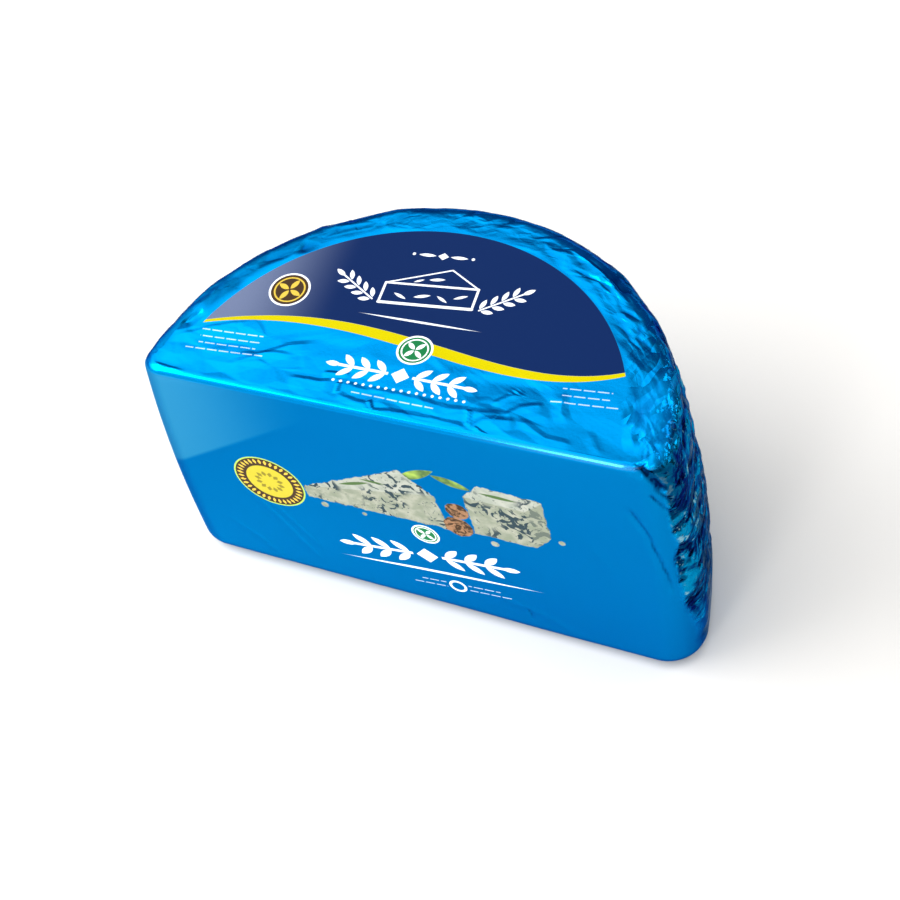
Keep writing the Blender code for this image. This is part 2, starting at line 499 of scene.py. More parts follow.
TOP_FOLDS = [Fold(*row) for row in (
    ((-60, -42.5, -52, -37.5, -41, -29.5, -31, -26), 0.22, 1.6, 5),
    ((-58, -37, -49, -34.5, -36, -32.5), 0.16, 1.4, 2.5),
    ((-84, -36, -70, -27.5, -56, -22), 0.16, 1.2, 4),
    ((-36, -41.4, -31.5, -41.3, -24.5, -40.9, -20, -40.2), 0.2, 1.4, 4, 0.34, 0.2),
    ((-25.5, -37.3, -21, -36.7, -16.3, -35.6), 0.2, 1, 2, 0.3, 0.2),
    ((-18.3, -39.8, -17.9, -42.3, -17.4, -44.2), 0.25, 1.2, 1.2, 0.4, 0.15),
    ((-17.8, -40.1, -9, -40.5, 3, -40.2, 11.7, -40.9, 19.5, -41.7, 26.7, -40.9, 36, -39.8, 37.1, -41.2),
     0.15, 1.5, 4, 0.36, 0.06),
    ((37, -40.8, 38.7, -38.4, 41.1, -36.2, 48, -33.3), 0.2, 1.2, 2.5, 0.26, 0.15),
    ((31.8, -37.3, 36.6, -32.5, 40.4, -29.6), 0.18, 1, 2, 0.24, 0.2),
    ((-17.4, -44.2, -11, -45.7, -7.5, -46, -4, -47.8, -0.6, -47.8, 2.4, -46.9, 15.6, -46.4, 24, -46.8,
      28, -47.9), 0.16, 1.4, 2.2, 0.38, 0.05),
    ((-6.1, -44.4, -3.5, -47.4), 0.25, 1, 1, 0.6, 0.15),
    ((29.2, -47.7, 29.9, -45, 31.5, -43.4, 36.8, -42, 41.4, -41.3), 0.16, 1.6, 4, 0.55, 0.1),
    ((41.4, -41.3, 44.7, -41.7, 48.5, -43.5, 52.2, -45.2, 60.7, -45.4), 0.12, 1.5, 2.6, 0.24, 0.12),
    ((26.5, -40.6, 27.3, -43.6, 27.9, -46.6), 0.24, 1, 1.4, 0.34, 0.12),
    ((29.9, -46.1, 33.1, -47.8, 36.1, -49.1), 0.2, 0.8, 1.2, 0.22, 0.2),
    ((52.2, -27.5, 53.4, -34, 56.6, -39), 0.24, 2.2, 3.5),
    ((63.3, -39.4, 65.9, -42.6, 68.7, -45.7, 69.9, -47.5), 0.1, 1.8, 2.5),
    ((-88, -46.8, -80, -47.2, -70, -47.6), 0.2, 0.9, 1.2, 0.25),
    ((72.5, -22, 75, -29.1, 76.2, -34.5, 77.2, -39.9, 79.5, -43.5), 0.26, 1.4, 3, 0.34, 0.2),
    ((83.8, -48.2, 82.6, -42, 82.2, -36, 84.5, -28), 0.34, 1, 2.4, 0.3, 0.1),
    ((84.2, -48, 86, -42, 86.5, -36), 0.28, 1, 1.8, 0.3, 0.1),
    ((79.5, -45, 80.5, -38, 79.6, -31, 81, -22), 0.3, 0.9, 2.2, 0.25),
    ((36, 35.5, 45, 26, 55, 15.5, 63, 6), 0.8, 2, 5),
    ((-86, -31, -80, -27.5, -77, -21), -0.6, 2, 3),
)]


@dataclass(frozen=True)
class Relief:
    """The foil's relief over the bare surface, with marks that the foil's finish reads.

    Attributes:
        height: Height above the bare surface, in mm.
        crumple: 1 where the foil is crumpled, 0 where it lies smooth.
        panel: 1 on the smooth printed front, 0 elsewhere.
        crease: 1 on the line of a sharp crease, where a dark line of painted shade is drawn.
        deep: 1 on the crumpled rim, whose colours are painted darker as shade.
        fold: 1 along the tight fold between the front and the top.
    """

    height: np.ndarray
    crumple: np.ndarray
    panel: np.ndarray
    crease: np.ndarray
    deep: np.ndarray
    fold: np.ndarray


@dataclass(frozen=True)
class Handling:
    """How the foil was folded and pressed on: heights of each kind of crumple, in mm."""

    seed: int = 41
    rim_dent: float = 1.45
    rim_fold: float = 1.05
    rim_facet: float = 0.42
    upright: float = 0.60
    border_dent: float = 0.95
    border_edge: float = 0.34
    flame: float = 0.44
    flame_slant: float = 0.12
    strip_wave: float = 0.26
    print_wave: float = 0.05
    front_wave: float = 0.16
    tuck: float = 0.70
    tuck_pitch: float = 7.5
    base_dent: float = 0.45
    lap: float = 0.80
    lap_angle: float = 1.95
    lap_slant: float = 0.30
    lap_fade: float = 24.0
    print_middle: Pair = (-1.5, 0.0)
    print_radius: float = 76.2

    def relief(self, grid: WrapGrid, shift: float) -> Relief:
        """Sums the relief of every region, each weighted by where it belongs.

        Args:
            grid: The bare surface.
            shift: The wheel's middle is this far forward of the row frame's origin, in m.

        Returns:
            The foil's relief and its marks.
        """
        x = grid.point[:, :, 0] / MM
        y = (grid.point[:, :, 1] - shift) / MM
        z = grid.point[:, :, 2] / MM
        spread = (grid.around, grid.share, grid.shrink)
        around, share, shrink = (np.broadcast_to(part, x.shape) for part in spread)
        foil = Creasing(float(grid.around[-1]), self.seed, around, grid.run)
        on_top, on_base = (shrink < 1) & (share > 0.5), (shrink < 1) & (share < 0.5)
        on_side = np.where(shrink < 1, 0, 1)

        waver = foil.swell((9, 9), 0)
        forward = 26 * smooth(0.92, 1.0, share) - 12 * smooth(0.40, 0.25, share)
        forward = forward - np.maximum(4 * smooth(0.26, 0.06, share), 46 * smooth(-60, -80, x))
        rim = smooth(37, 48 + 16 * smooth(0.42, 0.12, share), grid.swing + 5 * waver + forward)
        border = self._border(x, y, waver)
        roll = smooth(0.955, 1.0, share)
        weight = np.where(on_top, border, rim * (1 - roll) + roll * np.maximum(border, rim))
        behind = smooth(92, 125, grid.swing)
        level = share + behind * (0.20 + 0.09 * foil.facets((26, 60), 40))
        tip = smooth(73, 79, x) * smooth(-39, -45, y) * smooth(0.90, 0.97, share)
        pulled = weight * (1 - 0.4 * smooth(0.34, 0.18, level))
        weight = np.where(on_base, 0.55, pulled) * (1 - 0.65 * tip)

        rim_height = self._rim_crumple(foil, smooth(0.55, 0.10, level))
        rim_height = rim_height * (1 - 0.60 * smooth(0.36, 0.20, level))
        top_edge = np.where(on_top, smooth(0.90, 0.98, shrink), 1.0) * smooth(-50, 10, x)
        blend = np.where(on_top, 1.0, smooth(0.90, 1.0, share))
        height = weight * (rim_height * (1 - blend) + self._border_crumple(foil, top_edge) * blend)
        height = np.where(on_base, self._base_tucks(foil, x, y, 60 * shrink), height)

        strip = np.where(on_top, smooth(30, 20, y), 0) * smooth(-3.0, 1.0, y) * (1 - 0.6 * border)
        bent = foil.on(x + 0.4 * y, y).bent(18, 2.5, 22)
        wide = 1.6 * bent.crushed((22, 11), 20) + 0.5 * bent.crushed((9, 5), 21)
        height = height + strip * (1 - 0.8 * smooth(44, 58, x)) * self.strip_wave * wide
        height = height + np.where(on_top, self.print_wave, 0) * foil.on(x, y).swell((22, 16), 5)

        smooth_front = (1 - rim) * on_side
        edge_fade = smooth(0.0, 0.05, share) * smooth(1.0, 0.95, share)
        soft = foil.swell((46, 38), 30) + 0.35 * foil.swell((17, 24), 31)
        height = height + smooth_front * edge_fade * self.front_wave * soft

        crease = np.zeros(x.shape)
        facing = smooth(86, 76, grid.swing) * on_side
        for folds, where, up in ((FRONT_FOLDS, facing, z), (TOP_FOLDS, on_top * 1.0, y + shift / MM)):
            flat = foil.on(x, up)
            bent = flat.bent(5.0, 0.30, 50)
            wavy = bent.run + 0.12 * flat.swell((1.6, 1.6), 52)
            uneven = 0.62 + 0.38 * flat.swell((4.0, 4.0), 53)
            for fold in folds:
                lift, line = fold.relief(bent.around, wavy)
                height = height + where * lift
                crease = np.maximum(crease, where * line * np.maximum(uneven, 2 * fold.line - 0.4))

        tight = smooth_front * smooth(0.984, 0.990, share) * smooth(0.9992, 0.9975, share)
        corner = smooth(72, 80, x) * smooth(-5, -25, y)
        upper = (1 - corner) * smooth(1.0, 0.972, share) + corner * smooth(0.955, 0.915, share)
        return Relief(
            height=height + rim * self._lap(x, y, share) * edge_fade * on_side,
            crumple=weight,
            panel=smooth_front * smooth(0.992, 0.975, share),
            crease=crease,
            deep=on_side * rim * upper * (0.25 + 0.75 * smooth(0.16, 0.34, level)),
            fold=tight * smooth(84.5, 82.5, x),
        )

    def _border(self, x: np.ndarray, y: np.ndarray, waver: np.ndarray) -> np.ndarray:
        """Where the top is crumpled: outside the print's circle, and beyond its two tips.

        Args:
            x: Points to the right, in mm.
            y: Points to the back, in mm.
            waver: Unevenness of the border's edge, from -1 to 1.

        Returns:
            1 on the crumpled border.
        """
        away = np.hypot(x - self.print_middle[0], y - self.print_middle[1])
        ring = smooth(self.print_radius - 0.4, self.print_radius + 3.5, away + 0.8 * waver)
        right = smooth(70, 77, x + 2.5 * waver - 7 * smooth(14, 7, y))
        beyond = np.where(x > 0, right, smooth(80, 88, -x + 2 * waver))
        back = smooth(20, 30, y)
        return back * ring + (1 - back) * beyond

    def _rim_crumple(self, foil: Creasing, low: np.ndarray) -> np.ndarray:
        """Crumples of the rim: broad dents, folds and small facets.

        Args:
            foil: The height fields.
            low: 1 near the base, where the foil is pulled down into upright folds.

        Returns:
            Heights in mm.
        """
        broad, close = foil.bent(16, 4.0, 100), foil.bent(6, 1.6, 104)
        dents = broad.crushed((17, 14), 102) + 0.5 * broad.slanted(-0.5).facets((22, 11), 109)
        folds = 0.6 * broad.slanted(0.3).crushed((7.5, 8.5), 103)
        folds = folds + 0.45 * broad.slanted(0.9).facets((11, 5), 110)
        facets = self.rim_facet * close.slanted(-0.4).crushed((3.0, 3.6), 106)
        upright = low * self.upright * broad.crushed((5.0, 26), 108)
        return self.rim_dent * dents + (1 - 0.6 * low) * (self.rim_fold * folds + facets) + upright

    def _border_crumple(self, foil: Creasing, edge: np.ndarray) -> np.ndarray:
        """Crumples of the top's border: slanted flame-like streaks over broad dents.

        Args:
            foil: The height fields.
            edge: 1 at the top's outer edge, where the foil is bent over and crushed more.

        Returns:
            Heights in mm.
        """
        drifting = foil.on(foil.around, foil.run - self.flame_slant * foil.around)
        dents = self.border_dent * drifting.bent(14, 2.5, 200).crushed((21, 9.5), 202)
        close = drifting.bent(7, 1.1, 204)
        streaks = self.flame * close.slanted(0.6).crushed((13.0, 4.6), 206)
        return dents + streaks + self.border_edge * close.slanted(-0.5).crushed((6.5, 3.4), 208) * edge

    def _base_tucks(
        self, foil: Creasing, x: np.ndarray, y: np.ndarray, inward: np.ndarray
    ) -> np.ndarray:
        """Crumples of the base: radial tucks at its edge, where the sheet is gathered in, over dents.

        Args:
            foil: The height fields.
            x: Points to the right, in mm.
            y: Points to the back, in mm.
            inward: Place between the base's middle, 0, and its edge, 60.

        Returns:
            Heights in mm. Only the hollows show, as the base is pressed flat on what it stands on.
        """
        bent = foil.on(foil.around, inward).bent(12, 1.5, 300)
        tucks = bent.crushed((self.tuck_pitch, 34), 302) * smooth(12, 44, inward)
        return self.tuck * tucks + self.base_dent * foil.on(x, y).crushed((13, 13), 303)

    def _lap(self, x: np.ndarray, y: np.ndarray, share: np.ndarray) -> np.ndarray:
        """The sheet's folded end: a step up along a slanted line at the back, then a slow fall.

        Args:
            x: Points to the right, in mm.
            y: Points to the back, in mm.
            share: Share of the height.

        Returns:
            Heights in mm.
        """
        angle = np.arctan2(y, x) - self.lap_angle - self.lap_slant * (share - 0.5)
        past = HalfWheel.radius / MM * angle
        return self.lap * smooth(0, 0.9, past) * np.clip(1 - past / self.lap_fade, 0, 1)


class Panel(Enum):
    """The four panels that the wrap is cut into."""

    TOP = "foil_top"
    FRONT = "foil_front"
    RIM = "foil_rim"
    BASE = "foil_base"


@dataclass
class FoilWrap:
    """The whole sheet of foil, shaped on the half wheel and cut into its panels."""

    builder: WrapBuilder = WrapBuilder()
    handling: Handling = Handling()
    column_step: float = 0.6  # mm between a side panel's columns on its UV map
    map_margin: float = 0.01  # left free round the UV map
    hollow_scale: float = 0.6  # mm of relief from the highest ridge to the deepest hollow

    def __post_init__(self) -> None:
        """Shapes the sheet: the bare surface in the CAD node's box, then the relief on it."""
        self.grid = grid = self.builder.build()
        bare_normal = surface_normals(grid.point)
        low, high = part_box(NODE)
        bare = grid.point[:, :, 1]
        shift = (low.y + high.y - bare.min() - bare.max()) / 2
        bare += shift
        relief = self.handling.relief(grid, shift)
        self.point = grid.point + bare_normal * (relief.height * MM)[:, :, None]
        self.point[:, :, 2] = np.clip(self.point[:, :, 2], 0, None)
        self.normal = surface_normals(self.point)
        around = np.broadcast_to(grid.around, grid.run.shape)
        self.marks = {**vars(relief), "around": around, "run": grid.run}
        self.marks["hollow"] = self._hollows(self.marks.pop("height"))

    def _hollows(self, height: np.ndarray) -> np.ndarray:
        """How deep each point lies among its neighbours, from 0 on a ridge to 1 in a hollow.

        Args:
            height: Heights of the relief, in mm.

        Returns:
            Half less the height over its average nearby, as a share of hollow_scale.
        """
        blurred = height.copy()
        for reach, axis in ((reach, axis) for reach in (1, 2, 3) for axis in (0, 1)):
            beside = np.roll(blurred, reach, axis=axis) + np.roll(blurred, -reach, axis=axis)
            blurred = (blurred * 2 + beside) / 4
        return np.clip(0.5 - (height - blurred) / self.hollow_scale, 0, 1)

    def cut(self, panel: Panel) -> bpy.types.Object:
        """Makes a panel's mesh from its stretch of the grid, closing a round panel at its middle point.

        Args:
            panel: Which panel.

        Returns:
            The panel's object, with its marks as attributes and its own UV map.
        """
        rings, columns = self.grid.run.shape
        side, top = self.grid.side_start, self.grid.top_start
        first, last = self.grid.front_columns
        low, high, start, end, facing = {
            Panel.TOP: (top, rings, 0, columns, 1),
            Panel.FRONT: (side, top + 1, first, last + 1, 0),
            Panel.RIM: (side, top + 1, last, columns + first + 1, 0),
            Panel.BASE: (0, side + 1, 0, columns, -1),
        }[panel]
        pick = np.ix_(np.arange(low, high), np.arange(start, end) % columns)
        index = np.arange((high - low) * (end - start)).reshape(high - low, end - start)
        ahead = np.roll(index, -1, axis=1)
        here, ahead = (index, ahead) if facing else (index[:, :-1], ahead[:, :-1])
        faces = np.stack([here[:-1], ahead[:-1], ahead[1:], here[1:]], axis=-1).reshape(-1, 4).tolist()
        point, normal = self.point[pick].reshape(-1, 3), self.normal[pick].reshape(-1, 3)
        marks = {name: values[pick].ravel() for name, values in self.marks.items()}
        along = np.tile(np.arange(end - start) * self.column_step, high - low)
        flat = np.stack([along, marks["run"]], axis=1)
        if facing:
            ring = index[-1] if facing > 0 else index[0]
            point = np.vstack([point, point[ring].mean(axis=0)])
            normal = np.vstack([normal, [0, 0, facing]])
            marks = {name: np.append(values, values[ring].mean()) for name, values in marks.items()}
            fan = (ring, np.roll(ring, -1))[::facing]
            faces += np.stack([*fan, np.full(ring.size, len(point) - 1)], axis=1).tolist()
            flat = point[:, :2]

        mesh = bpy.data.meshes.new(panel.value)
        mesh.from_pydata(point, [], faces)
        mesh.polygons.foreach_set("use_smooth", np.ones(len(faces), bool))
        for name, values in marks.items():
            mark = mesh.attributes.new(name, "FLOAT", "POINT")
            mark.data.foreach_set("value", values.astype(np.float32))
        corner = np.zeros(len(mesh.loops), np.int32)
        mesh.loops.foreach_get("vertex_index", corner)
        spread = (flat - flat.min(axis=0)) / (flat.max(axis=0) - flat.min(axis=0)).max()
        spread = self.map_margin + (1 - 2 * self.map_margin) * spread
        layer = mesh.uv_layers.new(name="OFBake")
        layer.data.foreach_set("uv", spread[corner].astype(np.float32).ravel())
        mesh.update()
        mesh.normals_split_custom_set_from_vertices(normal)
        return new_object(panel.value, mesh)


# --- Nodes ---


def operator(name: str, reflected: bool = False) -> Callable[["Wire", Value], "Wire"]:
    """Makes an operator of a wire.

    Args:
        name: Operation of the Math node that it adds.
        reflected: Whether the wire is the node's second value.

    Returns:
        The operator.
    """

    def use(wire: "Wire", other: Value) -> "Wire":
        """Adds the Math node."""
        return wire.board.math(name, *((other, wire) if reflected else (wire, other)))

    return use


class Wire:
    """A value that flows between nodes. Python's operators on it add Math nodes."""

    __add__ = __radd__ = operator("ADD")
    __mul__ = __rmul__ = operator("MULTIPLY")
    __sub__ = operator("SUBTRACT")
    __rsub__ = operator("SUBTRACT", reflected=True)

    def __init__(self, board: "Board", socket: bpy.types.NodeSocket) -> None:
        """Holds the board that the value is on and the socket that gives it."""
        self.board = board
        self.socket = socket

    def __neg__(self) -> "Wire":
        """This value with its sign turned."""
        return self * -1.0

    def __abs__(self) -> "Wire":
        """This value without its sign."""
        return self.board.math("ABSOLUTE", self)

    def ink(self, blur: float = 0.18) -> "Wire":
        """How much of each point a shape covers, where this value is the distance from its edge."""
        return self.board.math("MULTIPLY_ADD", self, -1 / blur, 0.5, clamp=True)

    def step(self, start: float, end: float) -> "Wire":
        """A smooth S step of this value.

        Args:
            start: Value where the step is 0.
            end: Value where the step is 1.

        Returns:
            The step.
        """
        ends = (start, end, 0.0, 1.0) if start < end else (end, start, 1.0, 0.0)
        inputs = dict(zip(("Value", "From Min", "From Max", "To Min", "To Max"), (self, *ends)))
        return self.board.wire("MapRange", {"interpolation_type": "SMOOTHSTEP"}, inputs)


class Board:
    """Nodes of a material or a world, and short ways to add to them."""

    def __init__(
        self, owner: Union[bpy.types.Material, bpy.types.World], coordinates: str = "Object"
    ) -> None:
        """Starts with coordinates in metres and no other node.

        Args:
            owner: The material or world.
            coordinates: The Texture Coordinate node's output that patterns read.
        """
        owner.use_nodes = True
        self.tree = owner.node_tree
        self.tree.nodes.clear()
        self.place = self.wire("TexCoord", {}, {}, coordinates)

    def node(self, kind: str, settings: Mapping[str, Any], inputs: Mapping[Any, Any]) -> bpy.types.Node:
        """Adds a node.

        Args:
            kind: The node's type, without the ShaderNode that it starts with.
            settings: Its settings, which are set first.
            inputs: Values or links of its sockets, by name or number.

        Returns:
            The node.
        """
        node = self.tree.nodes.new("ShaderNode" + kind)
        for name, value in settings.items():
            setattr(node, name, value)
        for name, value in inputs.items():
            if isinstance(value, Wire):
                self.tree.links.new(value.socket, node.inputs[name])
            else:
                node.inputs[name].default_value = value
        return node

    def wire(
        self, kind: str, settings: Mapping[str, Any], inputs: Mapping[Any, Any], out: Any = 0
    ) -> Wire:
        """Adds a node and gives one of its outputs."""
        return Wire(self, self.node(kind, settings, inputs).outputs[out])

    def finish(self, kind: str, inputs: Mapping[Any, Any], output: str = "OutputMaterial") -> None:
        """Adds the shader that shows, and the output that it goes to."""
        self.node(output, {}, {"Surface": self.wire(kind, {}, inputs)})

    def math(self, operation: str, *values: Value, clamp: bool = False) -> Wire:
        """Adds a Math node on up to three values."""
        return self.wire("Math", {"operation": operation, "use_clamp": clamp}, dict(enumerate(values)))

    def vector(self, operation: str, *values: Any, out: int = 0) -> Wire:
        """Adds a Vector Math node."""
        return self.wire("VectorMath", {"operation": operation}, dict(enumerate(values)), out)

    def low(self, *values: Value) -> Wire:
        """The lowest of some values."""
        return reduce(lambda a, b: self.math("MINIMUM", a, b), values)

    def high(self, *values: Value) -> Wire:
        """The highest of some values."""
        return reduce(lambda a, b: self.math("MAXIMUM", a, b), values)

    def length(self, x: Wire, y: Wire) -> Wire:
        """The length of a line, from its two parts."""
        return self.math("SQRT", x * x + y * y)

    def mix(self, share: Value, start: Union[Wire, Colour], end: Union[Wire, Colour]) -> Wire:
        """Blends two colours by a share."""
        start, end = (part if isinstance(part, Wire) else (*part, 1.0) for part in (start, end))
        return self.wire("Mix", {"data_type": "RGBA"}, {0: share, 6: start, 7: end}, out=2)

    def mark(self, name: str) -> Wire:
        """A mark on the mesh, read by name."""
        return self.wire("Attribute", {"attribute_name": name}, {}, "Fac")

    def axes(self, scale: float = 1.0) -> list[Wire]:
        """The coordinates' three numbers, times a scale."""
        parts = self.node("SeparateXYZ", {}, {0: self.place}).outputs
        return [Wire(self, socket) * scale for socket in parts]

    def noise(self, scale: float, detail: float = 2.0, warp: float = 0.0) -> Wire:
        """A noise texture, its scale in waves per metre."""
        inputs = {0: self.place, "Scale": scale, "Detail": detail, "Distortion": warp}
        return self.wire("TexNoise", {}, inputs)

    def cells(self, along: Wire, across: Wire, size: Pair, push: float = 1.4) -> Wire:
        """Coordinates that count cells, pushed about by a soft noise.

        Args:
            along: Place along the cells, in mm.
            across: Place across them, in mm.
            size: A cell's length and width, in mm.
            push: How far the noise pushes, in cells.

        Returns:
            The coordinates.
        """
        place = self.wire("CombineXYZ", {}, {0: along * (1 / size[0]), 1: across * (1 / size[1])})
        soft = self.wire("TexNoise", {}, {0: place, "Scale": 0.7}, out=1)
        return self.vector("MULTIPLY_ADD", soft, (push, push, 0.0), place)

    def scattered(self, place: Wire, feature: str, out: str = "Distance") -> Wire:
        """A Voronoi texture on flat coordinates, one random point to a cell."""
        settings = {"voronoi_dimensions": "2D", "feature": feature}
        return self.wire("TexVoronoi", settings, {"Vector": place, "Scale": 1.0}, out)

    def crushed(self, place: Wire, height: float) -> Wire:
        """Small crushed facets, worked out as the mesh's own are.

        Args:
            place: Coordinates that count cells.
            height: Height for a dent one cell across, in mm.

        Returns:
            Their height.
        """
        first, second = self.scattered(place, "F1"), self.scattered(place, "F2")
        own = self.wire("SeparateColor", {}, {0: self.scattered(place, "F1", "Color")}) * 2 - 1
        return (second * second - first * first) * own * height

    def tilted(self, place: Wire, rise: float) -> Wire:
        """Flat facets with sharp borders, each tilted its own way.

        Args:
            place: Coordinates that count cells.
            rise: Twice the steepest tilt, in mm a cell.

        Returns:
            Their height.
        """
        away = self.vector("SUBTRACT", place, self.scattered(place, "F1", "Position"))
        tilt = self.vector("SUBTRACT", self.scattered(place, "F1", "Color"), (0.5, 0.5, 0.5))
        return self.vector("DOT_PRODUCT", away, tilt, out=1) * rise


@dataclass(frozen=True)
class Sheet:
    """Flat coordinates on a printed panel, in mm, with the shapes that are drawn on it.

    Each shape's method gives a distance in mm: below 0 inside the shape, above 0 outside.
    """

    board: Board
    across: Wire
    up: Wire

    def turned(self, x: float, y: float, degrees: float = 0.0) -> "Sheet":
        """The same panel with its origin moved and its axes turned.

        Args:
            x: The new origin, to the right.
            y: The new origin, upwards.
            degrees: Turn of the axes, anticlockwise.

        Returns:
            The new coordinates.
        """
        c, s = math.cos(math.radians(degrees)), math.sin(math.radians(degrees))
        across = self.across * c + (self.up * s - (x * c + y * s))
        return Sheet(self.board, across, self.up * c - (self.across * s + (y * c - x * s)))

    def paired(self, along: Wire, pitch: float) -> "Sheet":
        """Coordinates that start again every pitch along the sheet, mirrored about its middle line."""
        again = self.board.math("MODULO", self.board.high(along, 0.0), pitch)
        return Sheet(self.board, again, abs(self.up))

    def away(self, x: float = 0.0, y: float = 0.0) -> Wire:
        """Distance from a point."""
        return self.board.length(self.across - x, self.up - y)

    def disc(self, x: float, y: float, radius: float) -> Wire:
        """A round shape."""
        return self.away(x, y) - radius

    def stroke(self, start: Pair, end: Pair, width: float) -> Wire:
        """A straight stroke with round ends.

        Args:
            start: Where it starts.
            end: Where it ends.
            width: Its full width.

        Returns:
            The distance from the stroke's edge.
        """
        length = math.dist(start, end)
        ux, uy = (end[0] - start[0]) / length, (end[1] - start[1]) / length
        dx, dy = self.across - start[0], self.up - start[1]
        along = self.board.high(self.board.low(dx * ux + dy * uy, length), 0.0)
        return self.board.length(dx - along * ux, dy - along * uy) - width / 2

    def tile(self, *corners: Pair) -> Wire:
        """A shape with straight sides and no inward corner.

        Args:
            corners: Its corners, anticlockwise.

        Returns:
            The distance from its sides.
        """
        sides = []
        for (ax, ay), (bx, by) in zip(corners, corners[1:] + corners[:1]):
            length = math.dist((ax, ay), (bx, by))
            nx, ny = (by - ay) / length, (ax - bx) / length
            sides.append(self.across * nx + self.up * ny - (ax * nx + ay * ny))
        return self.board.high(*sides)

    def leaf(self, x: float, y: float, length: float, width: float, degrees: float = 0.0) -> Wire:
        """A leaf with two pointed ends, where two discs overlap.

        Args:
            x: The leaf's middle, to the right.
            y: The leaf's middle, upwards.
            length: From point to point.
            width: Its full width.
            degrees: Its turn, anticlockwise.

        Returns:
            The distance from its edge, near enough for ink.
        """
        bend = (length * length + width * width) / (4 * width)
        turned = self.turned(x, y, degrees)
        return self.board.length(turned.across, abs(turned.up) + (bend - width / 2)) - bend


# --- Finishes ---


@dataclass(frozen=True)
class Inks:
    """Colours of the printing inks, linear."""

    navy: Colour = (0.0051, 0.0178, 0.082)
    # painted sheen: the navy fades to this paler violet grey on the left, as a reflection would
    haze: Colour = (0.150, 0.185, 0.295)
    yellow: Colour = (0.53, 0.455, 0.0)
    white: Colour = (0.86, 0.90, 0.95)
    brown: Colour = (0.052, 0.030, 0.016)
    gold: Colour = (0.62, 0.44, 0.06)
    lemon: Colour = (0.52, 0.44, 0.035)
    lime: Colour = (0.42, 0.60, 0.10)
    green: Colour = (0.012, 0.16, 0.05)
    cream: Colour = (0.35, 0.36, 0.29)
    cream_dark: Colour = (0.22, 0.25, 0.185)
    vein: Colour = (0.028, 0.050, 0.062)
    herb: Colour = (0.07, 0.13, 0.045)
    nut: Colour = (0.31, 0.165, 0.085)


